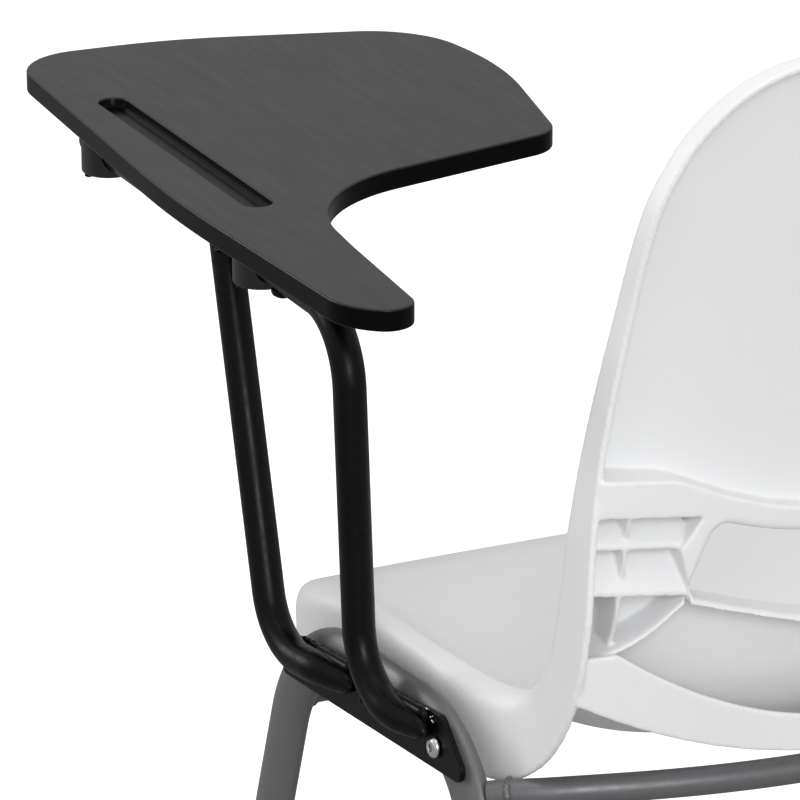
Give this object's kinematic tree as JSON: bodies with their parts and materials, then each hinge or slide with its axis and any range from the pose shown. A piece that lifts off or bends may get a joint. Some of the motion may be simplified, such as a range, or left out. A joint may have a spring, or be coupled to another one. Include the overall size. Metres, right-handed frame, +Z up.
{
  "type": "student desk chair",
  "caption": "Moulded seat shell on a tube frame with oval side legs, and a flip-up writing tablet carried on bent posts at one side.",
  "frame": {"origin": "floor level under the centre of the bounding box", "axes": "+Z up, -Y the way the sitter faces, +X the sitter's left, where the tablet is"},
  "size_m": [0.6302, 0.7462, 0.8657],
  "materials": {
    "white_shell": "smooth satin moulded polypropylene, off-white",
    "grey_frame": "satin mid-grey powder coat",
    "black_steel": "satin to semi-gloss black powder coat",
    "black_board": "satin dark-grey solid board with faint fine streaks",
    "black_plastic": "satin black moulded plastic",
    "zinc": "bright zinc plate",
    "grey_plastic": "matte dark grey moulded plastic"
  },
  "bodies": {
    "chair": {"front_cross_tube": "grey_frame", "front_post": "black_steel", "glide_front_left": "grey_plastic", "glide_front_right": "grey_plastic", "glide_rear_left": "grey_plastic", "glide_rear_right": "grey_plastic", "hinge_tube": "black_steel", "hinge_tube_cap": "black_plastic", "mount_plate": "black_steel", "plate_bolt_front": "black_steel", "plate_bolt_rear": "zinc", "rear_cross_tube": "grey_frame", "rest_arm": "black_steel", "rest_bumper": "black_plastic", "rivet_nut_front": "zinc", "rivet_nut_rear": "zinc", "seat_screw_front_left": "zinc", "seat_screw_front_right": "zinc", "seat_screw_rear_left": "zinc", "seat_screw_rear_right": "zinc", "seat_shell": "white_shell", "seat_support_front": "grey_frame", "seat_support_rear": "grey_frame", "side_frame_left": "grey_frame", "side_frame_right": "grey_frame", "stop_screw": "black_steel"},
    "tablet": {"block_screw_front_inner": "black_steel", "block_screw_front_outer": "black_steel", "block_screw_rear_inner": "black_steel", "block_screw_rear_outer": "black_steel", "pivot_block_front": "black_plastic", "pivot_block_rear": "black_plastic", "tablet_top": "black_board"}
  },
  "joints": [
    {"name": "tablet_flip", "type": "hinge", "parent": "chair", "child": "tablet", "pos_m": [0.262, -0.1355, 0.652], "axis": [0, 1, 0], "range_deg": [0, 95]}
  ]
}
